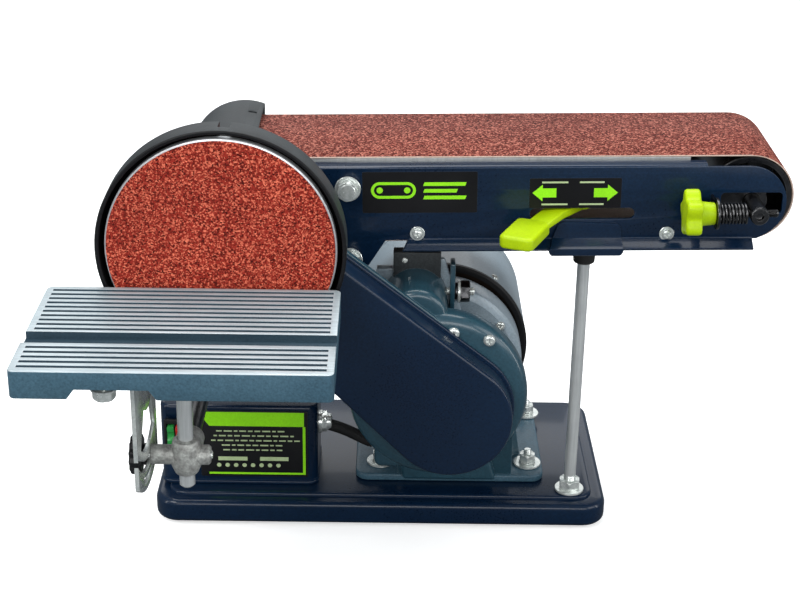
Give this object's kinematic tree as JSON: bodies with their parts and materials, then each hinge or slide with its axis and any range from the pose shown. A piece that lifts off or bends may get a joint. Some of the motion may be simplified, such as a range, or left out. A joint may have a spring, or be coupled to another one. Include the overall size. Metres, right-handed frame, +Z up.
{
  "type": "belt and disc sander",
  "caption": "Bench sander with a horizontal sanding belt on a tilting arm, a vertical sanding disc with a tilting table, and an induction motor on a pressed steel base.",
  "frame": {"origin": "middle of the whole machine's footprint, on the surface it stands on", "axes": "+X along the belt arm, away from the disc; +Y away from the user, parallel to the shafts; +Z up"},
  "size_m": [0.5035, 0.3826, 0.3375],
  "materials": {
    "navy_paint": "gloss navy enamel on pressed steel",
    "casting_paint": "gloss blue-grey enamel on cast aluminium",
    "dark_paint": "satin dark grey enamel",
    "motor_paint": "satin light grey enamel",
    "zinc": "bright zinc plating",
    "steel": "ground steel",
    "aluminium": "machined aluminium",
    "table_finish": "cast aluminium, planed top, blue-grey sides",
    "rough_cast": "rough die-cast aluminium",
    "abrasive": "red aluminium oxide grit on cloth",
    "rubber": "black rubber",
    "lime_plastic": "moulded lime green plastic",
    "black_plastic": "moulded black plastic",
    "green_plastic": "moulded green plastic",
    "red_plastic": "moulded red plastic",
    "laminations": "varnished steel laminations"
  },
  "bodies": {
    "base": {"base_pan": "navy_paint", "rubber_foot_front_left": "rubber", "rubber_foot_front_right": "rubber", "rubber_foot_back_left": "rubber", "rubber_foot_back_right": "rubber", "switch_box": "navy_paint", "switch_body": "black_plastic", "rating_plate": "black_plastic", "cord_gland": "black_plastic", "motor_lead": "rubber", "motor_casting": "casting_paint", "casting_bolt_front_left": "zinc", "casting_bolt_front_right": "zinc", "casting_bolt_back_left": "zinc", "casting_bolt_back_right": "zinc", "belt_cover": "navy_paint", "drive_belt": "rubber", "prop_rod": "zinc", "prop_nut": "zinc", "prop_cap": "rubber", "disc_guard": "dark_paint", "front_bearing": "steel", "rear_bearing": "steel", "motor_front_shield": "motor_paint", "motor_shell": "motor_paint", "motor_fan_cover": "motor_paint", "stator_core": "laminations", "table_post": "steel", "table_knuckle": "rough_cast", "table_support_bar": "steel"},
    "rotor": {"motor_shaft": "steel", "rotor_core": "laminations", "cooling_fan": "black_plastic", "motor_pulley": "aluminium"},
    "spindle": {"drive_shaft": "steel", "disc_plate": "aluminium", "disc_paper": "abrasive", "driven_pulley": "aluminium", "drive_drum": "aluminium"},
    "arm": {"arm_side_plate": "navy_paint", "arm_beam": "steel", "platen": "steel", "sanding_belt": "abrasive", "drum_hood": "dark_paint", "prop_bracket": "navy_paint", "arm_bolt_upper": "zinc", "arm_bolt_lower": "zinc", "tracking_spring": "dark_paint"},
    "lever": {"tension_lever": "lime_plastic"},
    "idler_carrier": {"idler_yoke": "steel", "idler_axle": "dark_paint"},
    "idler": {"idler_drum": "aluminium"},
    "tracking": {"tracking_knob": "lime_plastic", "tracking_screw": "steel"},
    "table": {"table_top": "table_finish", "tilt_quadrant": "zinc"},
    "tilt_clamp": {"tilt_knob": "black_plastic"},
    "arm_lock": {"arm_lock_knob": "black_plastic"},
    "start": {"start_button": "green_plastic"},
    "stop": {"stop_button": "red_plastic"}
  },
  "joints": [
    {"name": "rotor_spin", "type": "hinge", "parent": "base", "child": "rotor", "pos_m": [0.0078, 0.1193, 0.124], "axis": [0, 1, 0], "continuous": true},
    {"name": "spindle_spin", "type": "hinge", "parent": "base", "child": "spindle", "pos_m": [-0.1402, 0.0393, 0.256], "axis": [0, 1, 0], "continuous": true},
    {"name": "arm_tilt", "type": "hinge", "parent": "base", "child": "arm", "pos_m": [-0.1402, 0.0241, 0.256], "axis": [0, -1, 0], "range_deg": [0, 89]},
    {"name": "tension_swing", "type": "hinge", "parent": "arm", "child": "lever", "pos_m": [0.10289, 0.0473, 0.25388], "axis": [-0.0201, 0, 0.9998], "range_deg": [0, 70]},
    {"name": "idler_slide", "type": "slide", "parent": "arm", "child": "idler_carrier", "axis": [1, 0, 0], "range_m": [-0.0068, 0], "deforming": ["tracking_spring"]},
    {"name": "idler_spin", "type": "hinge", "parent": "idler_carrier", "child": "idler", "pos_m": [0.21997, 0.0853, 0.26323], "axis": [0, 1, 0], "continuous": true},
    {"name": "tracking_turn", "type": "hinge", "parent": "arm", "child": "tracking", "pos_m": [0.17574, 0.0033, 0.26234], "axis": [0.9998, 0, 0.0201], "continuous": true},
    {"name": "table_tilt", "type": "hinge", "parent": "base", "child": "table", "pos_m": [-0.1584, -0.1287, 0.209], "axis": [1, 0, 0], "range_deg": [0, 45]},
    {"name": "tilt_knob_turn", "type": "hinge", "parent": "base", "child": "tilt_clamp", "pos_m": [-0.1902, -0.1287, 0.144], "axis": [1, 0, 0], "continuous": true},
    {"name": "arm_lock_turn", "type": "hinge", "parent": "base", "child": "arm_lock", "pos_m": [0.0198, 0.0413, 0.186], "axis": [1, 0, 0], "continuous": true},
    {"name": "start_press", "type": "slide", "parent": "base", "child": "start", "axis": [0, 1, 0], "range_m": [0, 0.003], "stiffness_N_per_m": 300, "springref_m": -0.0015},
    {"name": "stop_press", "type": "slide", "parent": "base", "child": "stop", "axis": [0, 1, 0], "range_m": [0, 0.003], "stiffness_N_per_m": 300, "springref_m": -0.0015}
  ],
  "couplings": [
    {"joint": "spindle_spin", "follows": "rotor_spin", "ratio": 1},
    {"joint": "idler_spin", "follows": "rotor_spin", "ratio": 1},
    {"joint": "idler_slide", "follows": "tension_swing", "m_per_rad": -0.0055}
  ]
}
